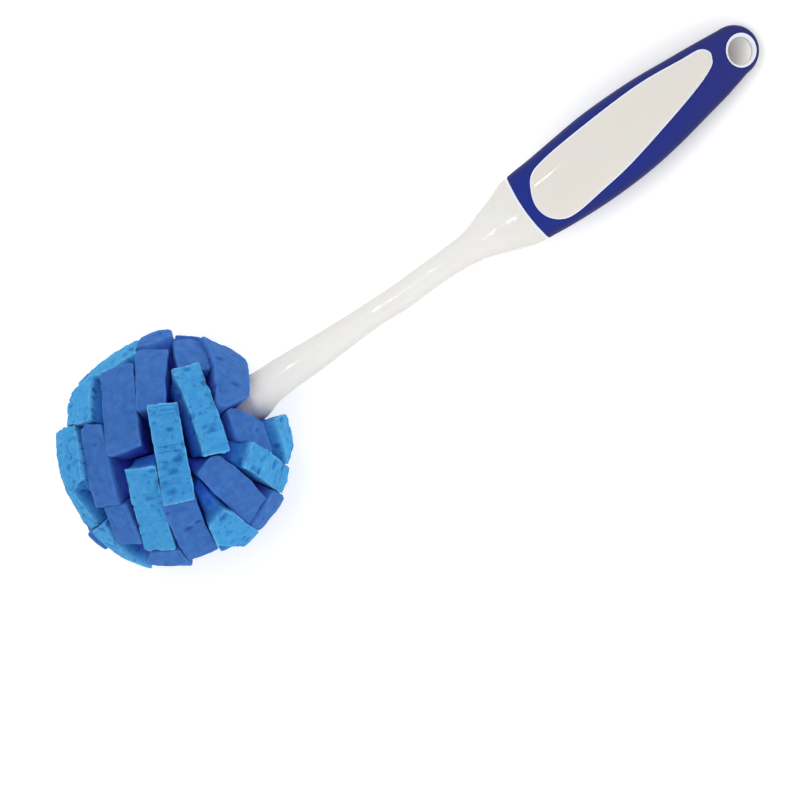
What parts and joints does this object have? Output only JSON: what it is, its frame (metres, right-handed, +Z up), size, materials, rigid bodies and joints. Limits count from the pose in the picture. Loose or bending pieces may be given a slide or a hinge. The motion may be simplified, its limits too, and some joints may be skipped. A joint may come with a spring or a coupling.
{
  "type": "dish brush",
  "caption": "Dish brush with a ball of soft sponge strips held in the loop of a slim white handle with a soft overmoulded grip and a hanging eye.",
  "frame": {"origin": "middle of the bounding box's base, on the surface the brush lies on", "axes": "+X from the sponge ball to the tail of the grip, +Y across the handle, +Z up, out of the surface it lies on; the teardrop panel faces up and the handle slopes down from the ball to its tail"},
  "size_m": [0.289, 0.0818, 0.0803],
  "materials": {
    "white_plastic": "smooth moulded polypropylene, slightly glossy",
    "navy_rubber": "satin soft-touch overmould",
    "light_sponge": "open-pored sponge, matt",
    "dark_sponge": "fine-pored sponge, matt"
  },
  "bodies": {
    "root": {"handle_core": "white_plastic", "grip_shell": "navy_rubber", "sponge_strip_01": "light_sponge", "sponge_strip_02": "light_sponge", "sponge_strip_03": "dark_sponge", "sponge_strip_04": "light_sponge", "sponge_strip_05": "light_sponge", "sponge_strip_06": "dark_sponge", "sponge_strip_07": "dark_sponge", "sponge_strip_08": "dark_sponge", "sponge_strip_09": "dark_sponge", "sponge_strip_10": "dark_sponge", "sponge_strip_11": "dark_sponge", "sponge_strip_12": "dark_sponge", "sponge_strip_13": "light_sponge", "sponge_strip_14": "light_sponge", "sponge_strip_15": "light_sponge", "sponge_strip_16": "light_sponge", "sponge_strip_17": "dark_sponge", "sponge_strip_18": "light_sponge", "sponge_strip_19": "dark_sponge", "sponge_strip_20": "dark_sponge", "sponge_strip_21": "light_sponge", "sponge_strip_22": "dark_sponge", "sponge_strip_23": "light_sponge", "sponge_strip_24": "dark_sponge"}
  },
  "joints": []
}
